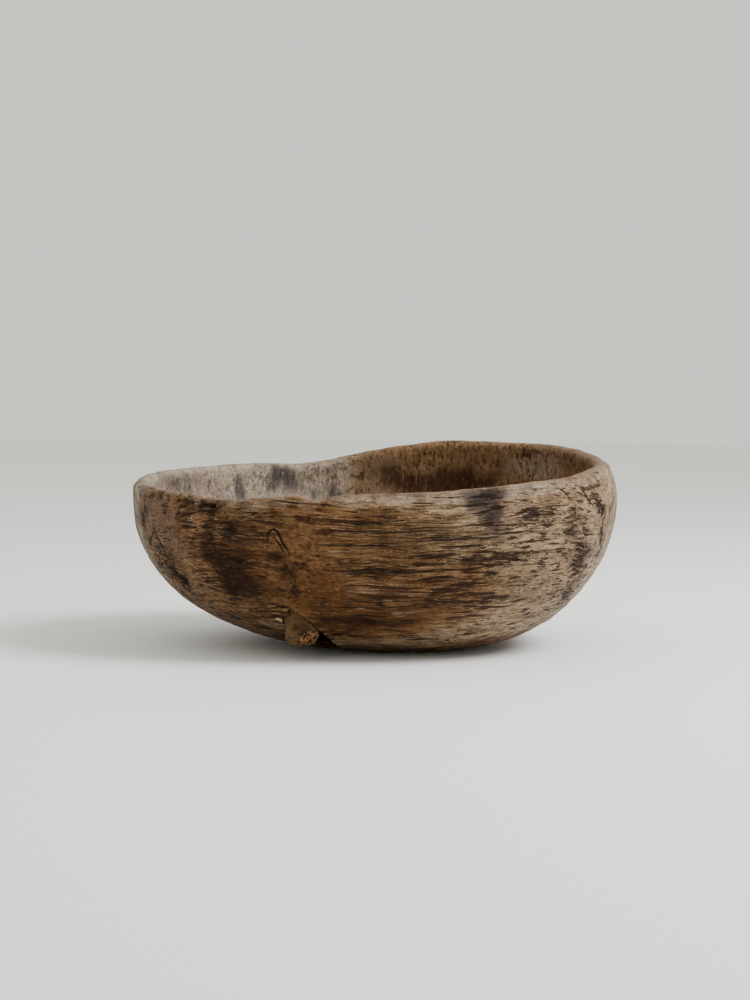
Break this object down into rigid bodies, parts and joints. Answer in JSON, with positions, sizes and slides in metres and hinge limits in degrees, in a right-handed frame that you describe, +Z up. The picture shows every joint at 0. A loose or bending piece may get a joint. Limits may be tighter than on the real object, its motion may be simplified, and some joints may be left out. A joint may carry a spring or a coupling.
{
  "type": "carved wooden bowl",
  "caption": "Large oval bowl hollowed by hand from half a log, with an undulating rounded rim, cracked weathered wood and a dead branch knot seated in the lower wall.",
  "frame": {"origin": "on the surface that the bowl stands on, under the middle of its outline", "axes": "+Z up; +X to the viewer's right along the grain of the log and the bowl's longest way; +Y to the back"},
  "size_m": [0.485, 0.44, 0.1996],
  "materials": {
    "bowl_wood": "old worn hardwood, waxed to a low sheen, with dark smoky stains and open grain",
    "knot_wood": "rough dry branch wood with broken end grain"
  },
  "bodies": {
    "root": {"bowl_shell": "bowl_wood", "knot_peg": "knot_wood"}
  },
  "joints": []
}
